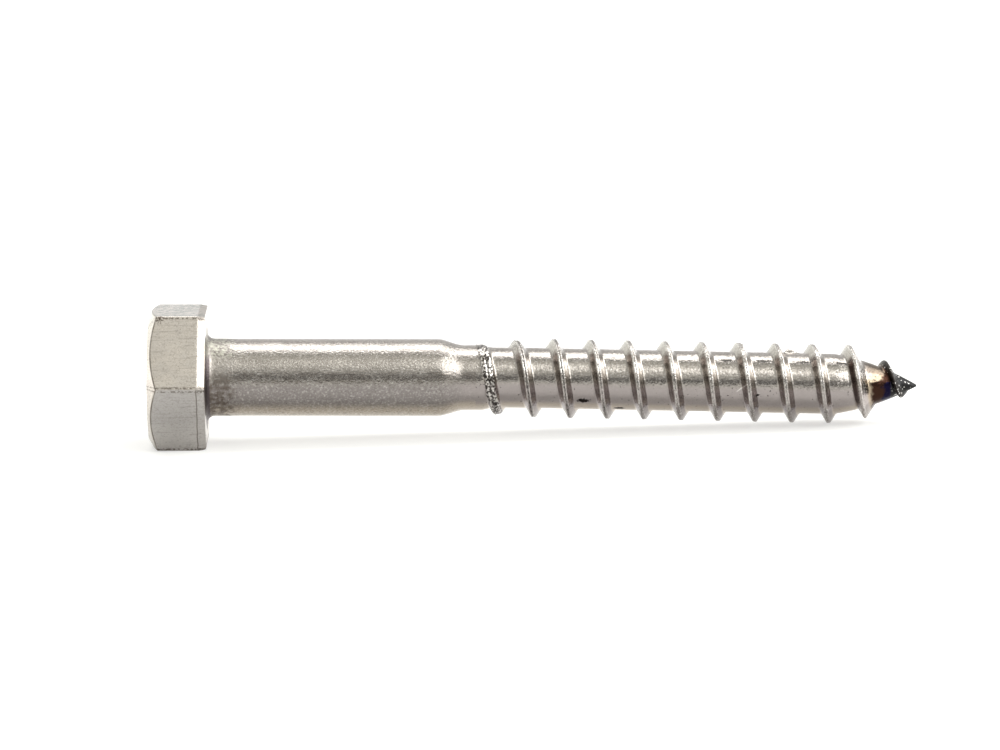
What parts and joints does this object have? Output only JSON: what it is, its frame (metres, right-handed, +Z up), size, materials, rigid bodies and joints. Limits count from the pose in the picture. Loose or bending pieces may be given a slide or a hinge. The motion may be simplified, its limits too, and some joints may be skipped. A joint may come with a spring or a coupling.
{
  "type": "lag screw",
  "caption": "Hex-head lag screw with a plain shank, a necked-down waist, a coarse right-hand wood thread and a gimlet point, for fastening into timber.",
  "frame": {"origin": "on the surface the screw lies on, halfway between the head's outer end and the tip", "axes": "+Z up; +X along the screw from the head towards the point, which drops about 2.5 degrees below +X because the head is wider than the thread; one flat of the head faces down"},
  "size_m": [0.0966, 0.0196, 0.0172],
  "materials": {
    "steel": "plain stainless steel with drawn and rolled marks, heat tint at the point"
  },
  "bodies": {
    "root": {"lag_screw": "steel"}
  },
  "joints": []
}
